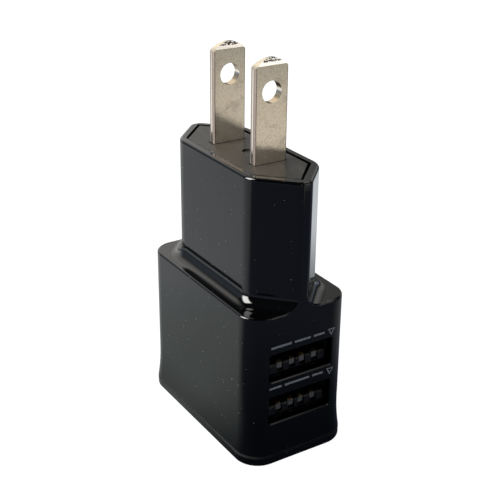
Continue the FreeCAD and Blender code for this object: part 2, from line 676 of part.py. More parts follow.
def bobbin_span():
    half = CORE_HEIGHT / 2 - CORE_BACK - SLIDE_FIT
    return CORE_Z - half, CORE_Z + half


def make_transformer_bobbin():
    """The coil former: a tube on the centre leg, two flanges and two pin rails."""
    low, high = bobbin_span()
    flange_margin = BOBBIN_WALL + WINDING_DEPTH + 0.1
    former = fuse([bobbin_frame(BOBBIN_WALL, low, high),
                   bobbin_frame(flange_margin, low, low + BOBBIN_FLANGE),
                   bobbin_frame(flange_margin, high - BOBBIN_FLANGE, high)])
    rail_y = CORE_CENTRE_LEG / 2 + flange_margin
    rail_front = CORE_X - CORE_THICKNESS / 2 - SLIDE_FIT
    rails = [block(BOARD_FRONT, rail_front, CORE_Y - rail_y, CORE_Y + rail_y, z0, z0 + 1.6)
             for z0 in (low + BOBBIN_FLANGE - 1.6, high - BOBBIN_FLANGE)]
    former = fuse([former] + rails)
    return former.cut(bobbin_frame(SLIDE_FIT, low - 3, high + 3)).cut(make_transformer_pins())


def make_transformer_winding():
    """The wound copper under its tape, as one ring on the former."""
    low, high = bobbin_span()
    low += BOBBIN_FLANGE
    high -= BOBBIN_FLANGE
    coil = bobbin_frame(BOBBIN_WALL + WINDING_DEPTH, low, high)
    coil = coil.makeFillet(1.2, edges_along(coil, 2))
    return coil.cut(bobbin_frame(BOBBIN_WALL, low - 1, high + 1))


def make_transformer_tape():
    """One turn of tape around the outside of both core halves."""
    half_y, half_z = CORE_WIDTH / 2, CORE_HEIGHT / 2
    x0, x1 = CORE_X - TAPE_WIDTH / 2, CORE_X + TAPE_WIDTH / 2
    inner = block(x0 - 1, x1 + 1, CORE_Y - half_y, CORE_Y + half_y,
                  CORE_Z - half_z, CORE_Z + half_z)
    outer = block(x0, x1, CORE_Y - half_y - TAPE_THICKNESS, CORE_Y + half_y + TAPE_THICKNESS,
                  CORE_Z - half_z - TAPE_THICKNESS, CORE_Z + half_z + TAPE_THICKNESS)
    return outer.cut(inner)


def make_transformer_pins():
    """Three pins in each rail, soldered through the main board."""
    low, high = bobbin_span()
    pins = []
    for z in (low + BOBBIN_FLANGE - 0.8, high - BOBBIN_FLANGE + 0.8):
        for offset in (-3.0, 0.0, 3.0):
            y = CORE_Y + offset
            pins.append(rod(vector(BOARD_BACK - SOLDER_STICK_OUT, y, z),
                            vector(BOARD_FRONT + 1.5, y, z), LEAD_RADIUS))
    return Part.makeCompound(pins)


def make_input_capacitor(side):
    """A tall electrolytic capacitor in the nose, with a crimp and two leads."""
    x = BOARD_FRONT + CAPACITOR_STANDOFF + INPUT_CAPACITOR_RADIUS
    base = vector(x, side * INPUT_CAPACITOR_Y, INPUT_CAPACITOR_BOTTOM)
    return make_electrolytic(base, vector(0, 0, 1), INPUT_CAPACITOR_RADIUS,
                             INPUT_CAPACITOR_LENGTH)


def make_electrolytic(base, axis, radius, length):
    """A can with a rounded top, a crimped neck and two leads bent onto the main board."""
    can = Part.makeCylinder(radius, length, base, axis)
    top = base + axis * length
    can = can.makeFillet(0.5, [e for e in can.Edges if (e.CenterOfMass - top).Length < 1e-6])
    can = can.cut(Part.makeTorus(radius + 0.25, 0.45, base + axis * 1.6, axis))
    across = axis.cross(vector(1, 0, 0)).normalize()
    leads = []
    for offset in (-1.5, 1.5):
        foot = base + across * offset
        bend = foot - axis * 0.9
        board_point = vector(BOARD_FRONT, bend.y, bend.z)
        leads.append(bent_wire([foot + axis * 0.5, bend, board_point], LEAD_RADIUS))
    return fuse([can] + leads)


def make_output_capacitor():
    """The low voltage electrolytic capacitor above the transformer."""
    x = BOARD_FRONT + CAPACITOR_STANDOFF + OUTPUT_CAPACITOR_RADIUS
    base = vector(x, 1.9, CAVITY_TOP - OUTPUT_CAPACITOR_RADIUS - 0.2)
    return make_electrolytic(base, vector(0, 1, 0), OUTPUT_CAPACITOR_RADIUS,
                             OUTPUT_CAPACITOR_LENGTH)


def make_fusible_resistor():
    """A wire-ended resistor between the blades' leads, standing off the main board."""
    x = BOARD_FRONT + RESISTOR_RADIUS + 0.7
    low, high = RESISTOR_SPAN
    body = rod(vector(x, 0, low), vector(x, 0, high), RESISTOR_RADIUS)
    body = body.makeFillet(0.5, round_edges(body))
    leads = [bent_wire([vector(x, 0, end), vector(x, 0, end + step),
                        vector(BOARD_FRONT, 0, end + step)], LEAD_RADIUS)
             for end, step in ((low, -0.6), (high, 0.6))]
    return fuse([body] + leads)


def round_edges(shape):
    return [e for e in shape.Edges if e.Curve.TypeId == "Part::GeomCircle"]


def choke_disc(radius, start, length):
    """A disc on the axis of the choke, which stands straight off the main board."""
    return Part.makeCylinder(radius, length, vector(BOARD_FRONT + start, 0, CHOKE_Z),
                             vector(1, 0, 0))


def make_choke_core():
    """The ferrite drum of the input choke."""
    waist = choke_disc(CHOKE_RADIUS / 2, 0, CHOKE_CORE_LENGTH)
    return fuse([waist, choke_disc(CHOKE_RADIUS, 0, CHOKE_FLANGE),
                 choke_disc(CHOKE_RADIUS, CHOKE_CORE_LENGTH - CHOKE_FLANGE, CHOKE_FLANGE)])


def make_choke_coil():
    """The copper winding on the drum, grooved between its turns."""
    length = CHOKE_CORE_LENGTH - 2 * CHOKE_FLANGE
    coil = choke_disc(CHOKE_COIL_RADIUS, CHOKE_FLANGE, length)
    coil = coil.cut(choke_disc(CHOKE_RADIUS / 2, CHOKE_FLANGE, length))
    pitch = length / (CHOKE_TURNS + 1)
    for turn in range(1, CHOKE_TURNS + 1):
        x = BOARD_FRONT + CHOKE_FLANGE + pitch * turn
        coil = coil.cut(Part.makeTorus(CHOKE_COIL_RADIUS + 0.15, 0.2, vector(x, 0, CHOKE_Z),
                                       vector(1, 0, 0)))
    return coil


def make_chip(y, z, depth, length, width, legs, legs_along_y):
    """A moulded package on the back of the main board, with flat legs on two sides."""
    pieces = [block(BOARD_BACK - depth, BOARD_BACK - CHIP_LIFT, y - length / 2, y + length / 2,
                    z - width / 2, z + width / 2)]
    row, reach = (width, length / 2) if legs_along_y else (length, width / 2)
    pitch = row / legs
    for index in range(legs):
        place = (index - (legs - 1) / 2) * pitch
        low, high = place - pitch / 5, place + pitch / 5
        for start in (-reach - CHIP_FOOT, reach - CHIP_LEG_INSIDE):
            end = start + CHIP_FOOT + CHIP_LEG_INSIDE
            spans = (start, end, low, high) if legs_along_y else (low, high, start, end)
            pieces.append(block(BOARD_BACK - CHIP_LEG_THICKNESS, BOARD_BACK, y + spans[0], y + spans[1],
                                z + spans[2], z + spans[3]))
    return fuse(pieces)


def make_y_capacitor():
    """The disc capacitor across the transformer, with a lead to the board on each side."""
    y, z = Y_CAPACITOR_Y, CAVITY_TOP - Y_CAPACITOR_RADIUS - 0.8
    x = Y_CAPACITOR_X + Y_CAPACITOR_THICKNESS / 2
    disc = Part.makeCylinder(Y_CAPACITOR_RADIUS, Y_CAPACITOR_THICKNESS,
                             vector(Y_CAPACITOR_X, y, z), vector(1, 0, 0))
    disc = disc.makeFillet(0.7, round_edges(disc))
    leads = [bent_wire([vector(x, y, z), vector(x, end, z), vector(BOARD_FRONT, end, z)],
                       LEAD_RADIUS) for end in Y_CAPACITOR_LEADS]
    return fuse([disc] + leads)


def make_port_controller():
    """The small chip on the back of the USB board that signals the charging current."""
    x0, x1 = CONTROLLER_X
    z0, z1 = CONTROLLER_Z
    face = USB_BOARD_BACK
    pieces = [block(x0, x1, face + CHIP_LIFT, face + CONTROLLER_DEPTH, z0, z1)]
    for index in range(3):
        z = z0 + CONTROLLER_LEG + CONTROLLER_PITCH * index
        for start in (x0 - CONTROLLER_FOOT, x1 - CHIP_LIFT):
            end = start + CONTROLLER_FOOT + CHIP_LIFT
            pieces.append(block(start, end, face, face + 2 * CHIP_LIFT, z, z + CONTROLLER_LEG))
    return fuse(pieces)


def make_chip_parts():
    """Small chip resistors and capacitors on the back of the main board."""
    depth, length, width = CHIP_PART_SIZE
    parts = []
    for z, first_y in CHIP_PART_ROWS:
        for column in range(CHIP_PARTS_IN_ROW):
            y = first_y + CHIP_PART_PITCH * column
            parts.append(block(BOARD_BACK - depth, BOARD_BACK, y, y + length, z, z + width))
    return Part.makeCompound(parts)


def main():
    os.makedirs("parts", exist_ok=True)
    nodes = {}
    nodes["housing"] = make_housing()
    nodes["bottom_cap"] = make_bottom_cap()
    nodes["line_blade"] = make_blade(-1)
    nodes["neutral_blade"] = make_blade(1)
    nodes["blade_plate"] = make_blade_plate([nodes["line_blade"], nodes["neutral_blade"]])
    nodes["line_lead"] = make_blade_lead(-1)
    nodes["neutral_lead"] = make_blade_lead(1)

    nodes["main_board"] = make_main_board()
    nodes["usb_board"] = make_usb_board()
    nodes["board_solder_joints"] = make_board_solder_joints()

    for port, height in (("upper", UPPER_PORT), ("lower", LOWER_PORT)):
        tails = [make_contact_tail(x, height) for x in CONTACT_PLACES.values()]
        nodes[port + "_socket_shell"] = make_socket_shell(height)
        nodes[port + "_socket_insulator"] = make_socket_insulator(height)
        nodes[port + "_contact_tails"] = Part.makeCompound(tails)
        nodes["usb_board"] = nodes["usb_board"].cut(nodes[port + "_contact_tails"])
        nodes["usb_board"] = nodes["usb_board"].cut(nodes[port + "_socket_shell"])
        for name, x in CONTACT_PLACES.items():
            nodes[port + "_" + name + "_contact"] = make_contact(x, height)

    nodes["transformer_core"] = make_transformer_core()
    nodes["transformer_bobbin"] = make_transformer_bobbin()
    nodes["transformer_winding"] = make_transformer_winding()
    nodes["transformer_tape"] = make_transformer_tape()
    nodes["transformer_pins"] = make_transformer_pins()
    nodes["main_board"] = nodes["main_board"].cut(nodes["transformer_pins"])

    nodes["input_capacitor_a"] = make_input_capacitor(-1)
    nodes["input_capacitor_b"] = make_input_capacitor(1)
    nodes["output_capacitor"] = make_output_capacitor()
    nodes["fusible_resistor"] = make_fusible_resistor()
    nodes["filter_choke_core"] = make_choke_core()
    nodes["filter_choke_coil"] = make_choke_coil()
    for name, place in CHIPS.items():
        nodes[name] = make_chip(*place)
    nodes["y_capacitor"] = make_y_capacitor()
    nodes["port_controller"] = make_port_controller()
    nodes["chip_parts"] = make_chip_parts()

    for name, shape in nodes.items():
        shape.exportStep("parts/" + name + ".step")


main()
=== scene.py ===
import json
import math

import bmesh
import bpy
from mathutils import Matrix, Vector


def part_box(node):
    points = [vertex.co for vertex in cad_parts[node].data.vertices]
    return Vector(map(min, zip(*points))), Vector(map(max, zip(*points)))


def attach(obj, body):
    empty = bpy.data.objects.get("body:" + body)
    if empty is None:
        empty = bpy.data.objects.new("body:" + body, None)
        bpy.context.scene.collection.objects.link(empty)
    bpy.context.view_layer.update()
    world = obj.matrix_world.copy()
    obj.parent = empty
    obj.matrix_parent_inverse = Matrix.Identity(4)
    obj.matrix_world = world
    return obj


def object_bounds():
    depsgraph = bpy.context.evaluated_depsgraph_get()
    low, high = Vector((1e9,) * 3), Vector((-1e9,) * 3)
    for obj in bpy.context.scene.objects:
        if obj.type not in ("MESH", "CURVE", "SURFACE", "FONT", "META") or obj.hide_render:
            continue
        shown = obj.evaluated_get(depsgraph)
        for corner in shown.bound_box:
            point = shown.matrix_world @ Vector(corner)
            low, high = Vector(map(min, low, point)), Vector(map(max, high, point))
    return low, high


# Looks for a black USB wall charger with two flat mains blades.
# Metres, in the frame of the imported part: +Z along the blades, X the thickness,
# and the USB sockets open towards -Y. Textures are laid out in millimetres.

MM = 0.001

# Camera: where it stands round the object, how far away, and what it aims at
CAMERA_AZIMUTH = math.radians(-32.61)
CAMERA_ELEVATION = math.radians(24.58)
CAMERA_ROLL = math.radians(0.67)
CAMERA_DISTANCE = 177.72 * MM
CAMERA_SHIFT = 0.66 * MM          # how far right of the object's axis it aims
CAMERA_AIM_SHARE = 0.4746         # height of the aim as a share of the object's height
CAMERA_LENS = 73.52
SENSOR_WIDTH = 36.0

# Port marks
MARK_HEIGHT = 0.02 * MM           # how far the ink stands on the plastic
MARK_SINK = 0.01 * MM             # how far it reaches into the plastic
MARK_LINE = 0.19 * MM
MARK_RADIUS = 0.88 * MM           # from the middle of a triangle to its corners
MARK_INSET = 0.55 * MM            # from the right side of the socket to that middle
DASH_INSET = 2.0 * MM             # from the right side of the socket to the first dash
DASH_HEIGHT = 0.4 * MM
DASH_GAP = 0.6 * MM
FOOT_FLARE = 0.5 * MM             # the port face lies this far behind the foot
UPPER_ROW_RISE = 1.1 * MM         # from the top of the socket to the middle of the row
LOWER_ROW_RISE = 1.55 * MM
UPPER_DASHES = (2.2, 3.2, 4.0)    # lengths in millimetres, from the triangle leftwards
LOWER_DASHES = (2.2, 5.0, 2.4)

FLOOR_SIZE = 6.0
FLOOR_DROP = 0.05 * MM            # gap that keeps the floor clear of the base

SEAM_DULL = 0.35                  # millimetres of unpolished plastic either side of the seam
BLADE_HALF_WIDTH = 3.1            # millimetres; the hidden cross bar of a blade is wider


# ---------------------------------------------------------------- node helpers

class Graph:
    """Adds nodes to a node tree. An input takes a plain value or another node's output."""

    def __init__(self, tree):
        self.tree = tree

    def plug(self, socket, value):
        if isinstance(value, bpy.types.NodeSocket):
            self.tree.links.new(value, socket)
        else:
            socket.default_value = value

    def node(self, kind, inputs=(), **settings):
        made = self.tree.nodes.new(kind)
        for name, value in settings.items():
            setattr(made, name, value)
        for name, value in dict(inputs).items():
            self.plug(made.inputs[name], value)
        return made

    def math(self, operation, *values):
        made = self.node("ShaderNodeMath", operation=operation)
        for socket, value in zip(made.inputs, values):
            self.plug(socket, value)
        return made.outputs[0]

    def add(self, *values):
        total = values[0]
        for value in values[1:]:
            total = self.math("ADD", total, value)
        return total

    def multiply(self, *values):
        total = values[0]
        for value in values[1:]:
            total = self.math("MULTIPLY", total, value)
        return total

    def invert(self, value):
        return self.math("SUBTRACT", 1.0, value)

    def dot(self, a, b):
        made = self.node("ShaderNodeVectorMath", operation="DOT_PRODUCT")
        self.plug(made.inputs[0], a)
        self.plug(made.inputs[1], b)
        return made.outputs["Value"]

    def stretch(self, vector, factors):
        made = self.node("ShaderNodeVectorMath", operation="MULTIPLY")
        self.plug(made.inputs[0], vector)
        self.plug(made.inputs[1], factors)
        return made.outputs["Vector"]

    def split(self, vector):
        return self.node("ShaderNodeSeparateXYZ", {"Vector": vector}).outputs

    def smooth(self, value, start, end, low=0.0, high=1.0):
        """Low where value is at start, high where it is at end, with a soft step between."""
        made = self.node(
            "ShaderNodeMapRange",
            {"Value": value, "From Min": start, "From Max": end, "To Min": low, "To Max": high},
            interpolation_type="SMOOTHSTEP",
        )
        return made.outputs["Result"]

    def noise(self, vector, scale, detail=2.0, roughness=0.5, distortion=0.0):
        made = self.node(
            "ShaderNodeTexNoise",
            {"Vector": vector, "Scale": scale, "Detail": detail,
             "Roughness": roughness, "Distortion": distortion},
        )
        return made.outputs["Fac"]

    def cells(self, vector, scale, feature="F1"):
        return self.node(
            "ShaderNodeTexVoronoi", {"Vector": vector, "Scale": scale}, feature=feature
        ).outputs

    def mix(self, factor, a, b):
        """Colour a where factor is 0, colour b where it is 1."""
        made = self.node("ShaderNodeMix", data_type="RGBA")
        self.plug(made.inputs[0], factor)
        self.plug(made.inputs[6], a)
        self.plug(made.inputs[7], b)
        return made.outputs[2]

    def lerp(self, factor, a, b):
        """Number a where factor is 0, number b where it is 1."""
        made = self.node("ShaderNodeMix", data_type="FLOAT")
        self.plug(made.inputs[0], factor)
        self.plug(made.inputs[2], a)
        self.plug(made.inputs[3], b)
        return made.outputs[0]


def rgb(red, green, blue):
    return (red, green, blue, 1.0)


def grey(value):
    return (value, value, value, 1.0)


class Material(Graph):
    """A Principled material whose textures read the object's own space in millimetres."""

    def __init__(self, name):
        self.data = bpy.data.materials.new(name)
        self.data.use_nodes = True
        super().__init__(self.data.node_tree)
        self.surface = self.tree.nodes["Principled BSDF"]
        coordinates = self.node("ShaderNodeTexCoord").outputs["Object"]
        self.place = self.stretch(coordinates, (1 / MM, 1 / MM, 1 / MM))
        self.geometry = self.node("ShaderNodeNewGeometry").outputs

    def finish(self, **inputs):
        """Sets inputs of the Principled node; an underscore stands for a space."""
        for name, value in inputs.items():
            self.plug(self.surface.inputs[name.replace("_", " ")], value)
        return self.data

    def bump(self, height, distance, normal=None):
        """Bump whose height of 1 stands for distance in millimetres."""
        inputs = {"Height": height, "Distance": distance * MM, "Strength": 1.0}
        if normal is not None:
            inputs["Normal"] = normal
        return self.node("ShaderNodeBump", inputs).outputs["Normal"]

    def specks(self, cell, radius, share, offset=0.0):
        """Mask of round specks: about one try in each cell, kept for the given share of cells."""
        where = self.node("ShaderNodeVectorMath", operation="ADD")
        self.plug(where.inputs[0], self.place)
        self.plug(where.inputs[1], (offset, offset, offset))
        voronoi = self.cells(where.outputs["Vector"], 1 / cell)
        near = self.smooth(voronoi["Distance"], radius / cell, 0.5 * radius / cell)
        chance = self.split(voronoi["Color"])["X"]
        return self.multiply(near, self.math("LESS_THAN", chance, share))

    def edges(self, radius, start=0.01, end=0.15):
        """Mask of the places within radius millimetres of an edge."""
        soft = self.node("ShaderNodeBevel", {"Radius": radius * MM}, samples=4).outputs["Normal"]
        turn = self.invert(self.dot(soft, self.geometry["Normal"]))
        return self.smooth(turn, start, end)

    def scratches(self, direction, width=0.035, cell=4.0):
        """Mask of a few long hairlines that run along the axis with the small factor."""
        wander = self.noise(self.place, 0.08, detail=1.0)
        bent = self.node("ShaderNodeVectorMath", operation="ADD")
        self.plug(bent.inputs[0], self.stretch(self.place, direction))
        self.plug(bent.inputs[1], wander)
        lines = self.cells(bent.outputs["Vector"], 1 / cell, "DISTANCE_TO_EDGE")
        thin = self.smooth(lines["Distance"], width / cell, 0.2 * width / cell)
        return self.multiply(thin, self.smooth(self.noise(self.place, 0.35), 0.52, 0.68))


# ------------------------------------------------------------ outside materials

def hairline(m, value, place, width=0.09):
    """Mask of a thin line where value equals place, in millimetres."""
    return m.smooth(m.math("ABSOLUTE", m.math("SUBTRACT", value, place)), width, 0.3 * width)


def black_plastic(name, base, rough, rough_spread, dust_share):
    """Polished black moulding with smudges, hairlines, dust, rubbed edges and a dull seam."""
    m = Material(name)
    smudge = m.noise(m.place, 0.22, detail=4.0, roughness=0.6)
    scratch = m.scratches((1.0, 1.0, 0.12))
    rub = m.multiply(m.edges(0.3), m.smooth(m.noise(m.place, 2.2, detail=3.0), 0.45, 0.7))
    height = m.split(m.place)["Z"]
    seam = hairline(m, height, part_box("housing")[0].z / MM, SEAM_DULL)
    settled = m.smooth(height, 42.0, 20.0, 0.3 * dust_share, dust_share)
    fine = m.specks(1.0, 0.07, settled)
    coarse = m.specks(7.0, 0.2, 0.4 * dust_share, offset=31.0)
    dust = m.math("MAXIMUM", fine, coarse)
    tone = m.mix(m.smooth(smudge, 0.3, 0.8), grey(base), rgb(1.5 * base, 1.6 * base, 1.75 * base))
    tone = m.mix(m.multiply(rub, 0.5), tone, rgb(0.05, 0.052, 0.055))
    tone = m.mix(dust, tone, rgb(0.26, 0.25, 0.23))
    roughness = m.smooth(smudge, 0.35, 0.75, rough, rough + rough_spread)
    roughness = m.add(roughness, m.multiply(scratch, 0.15), m.multiply(rub, 0.12))
    roughness = m.lerp(m.math("MAXIMUM", dust, seam), roughness, 0.9)
    wave = m.bump(m.noise(m.place, 0.14, detail=1.0), 0.012)
    grain = m.bump(m.noise(m.place, 6.0, detail=3.0), 0.0006, wave)
    nicks = m.bump(m.add(m.multiply(scratch, -0.3), dust), 0.012, grain)
    return m.finish(Base_Color=tone, Roughness=roughness, IOR=1.5, Normal=nicks)


def gloss_shell():
    return black_plastic("gloss_shell", 0.0008, 0.05, 0.05, 0.5)


def gloss_cap():
    return black_plastic("gloss_cap", 0.0009, 0.07, 0.06, 0.5)


def satin_plate():
    """Black plate round the blades: grain rubbed smooth by outlets, painted shade along its edges.
    """
    m = Material("satin_plate")
    rub = m.noise(m.place, 0.5, detail=4.0, roughness=0.65)
    grain = m.noise(m.place, 9.0, detail=4.0, roughness=0.7)
    dust = m.math("MAXIMUM", m.specks(0.7, 0.09, 0.7), m.specks(3.5, 0.2, 0.5, offset=17.0))
    # Painted shade: a dark band with little shine along the plate's edges and round the blade
    # slots stands for the shadowed gap there.
    painted_gap_shade = m.edges(0.22)
    tone = m.mix(m.smooth(rub, 0.3, 0.75), rgb(0.009, 0.0084, 0.0068), rgb(0.030, 0.0275, 0.022))
    tone = m.mix(painted_gap_shade, tone, grey(0.0006))
    tone = m.mix(dust, tone, rgb(0.33, 0.31, 0.26))
    roughness = m.lerp(m.smooth(rub, 0.35, 0.7), 0.36, 0.45)
    roughness = m.lerp(dust, roughness, 0.9)
    shine = m.lerp(painted_gap_shade, 0.5, 0.08)
    normal = m.bump(m.add(grain, dust), 0.003)
    return m.finish(
        Base_Color=tone, Roughness=roughness, IOR=1.5, Specular_IOR_Level=shine, Normal=normal
    )


def blade_edge_lines(m, reach, depth, outer_face):
    """Mask of the thin dark lines just inside the long edges of a blade."""
    side = BLADE_HALF_WIDTH
    on_face = m.smooth(depth, outer_face - 0.1, outer_face)
    on_side = m.smooth(reach, side - 0.1, side)
    return m.math(
        "MAXIMUM",
        m.multiply(hairline(m, reach, side - 0.2), on_face),
        m.multiply(hairline(m, depth, outer_face - 0.5), on_side),
    )


def blade_stamping(m, reach, height, bevel, tip):
    """Mask of the torn patches that the stamping tool left on the bevel of the tip."""
    middle = m.multiply(m.smooth(reach, 2.1, 1.3), m.smooth(height, tip - 0.75, tip - 0.45))
    torn = m.smooth(m.noise(m.stretch(m.place, (1.6, 1.0, 3.5)), 1.6, detail=4.0), 0.44, 0.54)
    return m.multiply(bevel, middle, torn)


def blade_tone(m, mottle, grain, stain, pits):
    """Warm nickel with darker stains and pits."""
    tone = m.mix(m.smooth(mottle, 0.3, 0.75), rgb(0.59, 0.51, 0.40), rgb(0.77, 0.67, 0.53))
    tone = m.mix(m.smooth(grain, 0.42, 0.66), tone, rgb(0.86, 0.765, 0.625))
    tone = m.mix(m.multiply(stain, 0.3), tone, rgb(0.50, 0.42, 0.31))
    return m.mix(m.multiply(pits, 0.3), tone, rgb(0.22, 0.18, 0.13))


def blade_metal():
    """Nickel-plated brass strip: grainy satin faces, thin dark lines along the edges and a stamped
    tip, with painted highlights on the tip bevel and the narrow sides and painted shade on the
    edge chamfers.
    """
    m = Material("blade_metal")
    low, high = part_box("line_blade")
    tip = high.z / MM
    blade_middle = -(low.y + high.y) / 2 / MM
    outer_face = (high.y - low.y) / 2 / MM
    across, along, height = m.split(m.place)
    reach = m.math("ABSOLUTE", across)
    depth = m.math("ABSOLUTE", m.math("SUBTRACT", m.math("ABSOLUTE", along), blade_middle))
    sideways, facing, lift = m.split(m.geometry["Normal"])
    sideways = m.math("ABSOLUTE", sideways)
    facing = m.math("ABSOLUTE", facing)

    mottle = m.noise(m.place, 1.4, detail=5.0, roughness=0.7)
    drawn = m.noise(m.stretch(m.place, (9.0, 9.0, 0.5)), 1.0, detail=3.0)
    grain = m.noise(m.place, 6.0, detail=4.0, roughness=0.75)
    stain = m.smooth(m.noise(m.place, 0.45, detail=3.0, distortion=0.6), 0.52, 0.72)
    pits = m.specks(1.6, 0.09, 0.4)
    edge_lines = blade_edge_lines(m, reach, depth, outer_face)
    # Mask of the edge chamfers, which are made rougher and, as painted shade, darker.
    flank = m.multiply(m.smooth(sideways, 0.6, 0.8), m.smooth(facing, 0.12, 0.25))
    hole = m.multiply(m.smooth(facing, 0.3, 0.1),
                      m.smooth(reach, BLADE_HALF_WIDTH - 0.3, BLADE_HALF_WIDTH - 0.5),
                      m.smooth(height, tip - 1.0, tip - 1.5))
    bevel = m.multiply(m.smooth(lift, 0.05, 0.15), m.smooth(lift, 0.6, 0.45))
    stamped = blade_stamping(m, reach, height, bevel, tip)

    tone = blade_tone(m, mottle, grain, stain, pits)
    # Painted highlight: the upward-tilted bevel of the tip is made paler.
    tone = m.mix(m.multiply(bevel, 0.7), tone, rgb(0.90, 0.86, 0.80))
    tone = m.mix(hole, tone, rgb(0.56, 0.44, 0.30))
    # Painted shade: the edge chamfers are made darker.
    tone = m.mix(flank, tone, rgb(0.36, 0.30, 0.26))
    # Painted highlight: the narrow side faces, which face straight sideways, are made paler.
    tone = m.mix(m.smooth(sideways, 0.97, 0.99), tone, rgb(0.93, 0.88, 0.80))
    tone = m.mix(m.multiply(edge_lines, 0.9), tone, rgb(0.14, 0.10, 0.10))
    tone = m.mix(stamped, tone, rgb(0.14, 0.12, 0.11))
    roughness = m.add(m.smooth(mottle, 0.25, 0.8, 0.15, 0.22), m.multiply(stain, 0.05))
    roughness = m.lerp(m.math("MAXIMUM", stamped, flank), roughness, 0.6)
    lines = m.bump(m.add(m.multiply(drawn, 0.6), grain), 0.005)
    normal = m.bump(m.add(m.multiply(pits, -1.0), m.multiply(stamped, 2.0)), 0.006, lines)
    return m.finish(Base_Color=tone, Metallic=1.0, Roughness=roughness, Normal=normal)


def contact_bronze():
    """Gold-flashed phosphor bronze, grey at the cut ends that face out of the port, with painted
    highlights along its edges.
    """
    m = Material("contact_bronze")
    mottle = m.noise(m.place, 3.0, detail=4.0)
    wiped = m.noise(m.stretch(m.place, (12.0, 0.8, 12.0)), 1.0, detail=2.0)
    tone = m.mix(m.smooth(mottle, 0.3, 0.75), rgb(0.62, 0.42, 0.20), rgb(0.86, 0.66, 0.36))
    # Painted highlight: pale gold along the edges.
    tone = m.mix(m.multiply(m.edges(0.08), 0.6), tone, rgb(0.95, 0.82, 0.58))
    cut = m.smooth(m.split(m.geometry["Normal"])["Y"], -0.6, -0.9)
    tone = m.mix(m.multiply(cut, 0.85), tone, rgb(0.30, 0.30, 0.29))
    roughness = m.add(m.smooth(wiped, 0.3, 0.7, 0.16, 0.3), m.multiply(cut, 0.2))
    return m.finish(
        Base_Color=tone, Metallic=1.0, Roughness=roughness, Normal=m.bump(wiped, 0.002)
    )


def socket_steel():
    """Bright tin-plated sheet with faint roll marks and handling marks."""
    m = Material("socket_steel")
    rolled = m.noise(m.stretch(m.place, (6.0, 0.7, 6.0)), 1.0, detail=4.0)
    patch = m.noise(m.place, 0.9, detail=4.0)
    tone = m.mix(m.smooth(patch, 0.35, 0.7), rgb(0.42, 0.42, 0.42), rgb(0.60, 0.60, 0.59))
    tone = m.mix(m.multiply(m.edges(0.1), 0.5), tone, grey(0.75))
    roughness = m.smooth(patch, 0.3, 0.75, 0.26, 0.4)
    return m.finish(
        Base_Color=tone, Metallic=1.0, Roughness=roughness, Normal=m.bump(rolled, 0.002)
    )


def socket_plastic():
    """Glass-filled black nylon: dull, with a fine sandy grain and a little lint."""
    m = Material("socket_plastic")
    cloud = m.noise(m.place, 1.2, detail=4.0)
    grain = m.noise(m.place, 14.0, detail=3.0, roughness=0.7)
    lint = m.specks(1.1, 0.09, 0.6)
    tone = m.mix(m.smooth(cloud, 0.3, 0.7), grey(0.002), rgb(0.005, 0.005, 0.006))
    tone = m.mix(m.multiply(m.edges(0.1), 0.4), tone, grey(0.02))
    tone = m.mix(m.multiply(lint, 0.6), tone, rgb(0.30, 0.29, 0.26))
    roughness = m.smooth(cloud, 0.3, 0.7, 0.38, 0.52)
    return m.finish(Base_Color=tone, Roughness=roughness, Normal=m.bump(grain, 0.004))


def port_ink():
    """Pale grey pad-printed ink, slightly patchy."""
    m = Material("port_ink")
    patch = m.noise(m.place, 7.0, detail=4.0, roughness=0.7)
    tone = m.mix(m.smooth(patch, 0.35, 0.7), rgb(0.40, 0.405, 0.41), rgb(0.60, 0.605, 0.61))
    roughness = m.smooth(patch, 0.3, 0.7, 0.45, 0.65)
    return m.finish(Base_Color=tone, Roughness=roughness, Normal=m.bump(patch, 0.003))


# ------------------------------------------------------------- inside materials

def board_green():
    """Green solder mask over copper: lighter where tracks run under it."""
    m = Material("board_green")
    tracks = m.cells(m.stretch(m.place, (0.0, 1.0, 1.0)), 0.55, "DISTANCE_TO_EDGE")["Distance"]
    track = m.smooth(tracks, 0.16, 0.2)
    glass = m.noise(m.place, 8.0, detail=2.0)
    tone = m.mix(track, rgb(0.012, 0.085, 0.03), rgb(0.02, 0.15, 0.05))
    tone = m.mix(m.multiply(m.edges(0.2), 0.6), tone, rgb(0.30, 0.33, 0.16))
    roughness = m.smooth(glass, 0.3, 0.7, 0.28, 0.38)
    normal = m.bump(m.add(track, m.multiply(glass, 0.2)), 0.03)
    return m.finish(Base_Color=tone, Roughness=roughness, Normal=normal)


def solder():
    m = Material("solder")
    frost = m.noise(m.place, 5.0, detail=5.0, roughness=0.7)
    tone = m.mix(m.smooth(frost, 0.3, 0.7), grey(0.42), rgb(0.66, 0.67, 0.68))
    roughness = m.smooth(frost, 0.3, 0.7, 0.2, 0.42)
    return m.finish(Base_Color=tone, Metallic=1.0, Roughness=roughness, Normal=m.bump(frost, 0.02))


def coated_wire(name, dark, light):
    """Flexible insulation with a soft sheen, small kinks and grubby patches."""
    m = Material(name)
    cloud = m.noise(m.place, 1.5, detail=4.0)
    rings = m.noise(m.stretch(m.place, (6.0, 1.0, 1.0)), 1.2, detail=2.0)
    tone = m.mix(m.smooth(cloud, 0.3, 0.7), dark, light)
    roughness = m.smooth(cloud, 0.3, 0.7, 0.4, 0.55)
    return m.finish(
        Base_Color=tone, Roughness=roughness, Sheen_Weight=0.15, Normal=m.bump(rings, 0.015)
    )


def lead_red():
    return coated_wire("lead_red", rgb(0.30, 0.015, 0.012), rgb(0.48, 0.03, 0.02))


def lead_black():
    return coated_wire("lead_black", grey(0.012), grey(0.03))


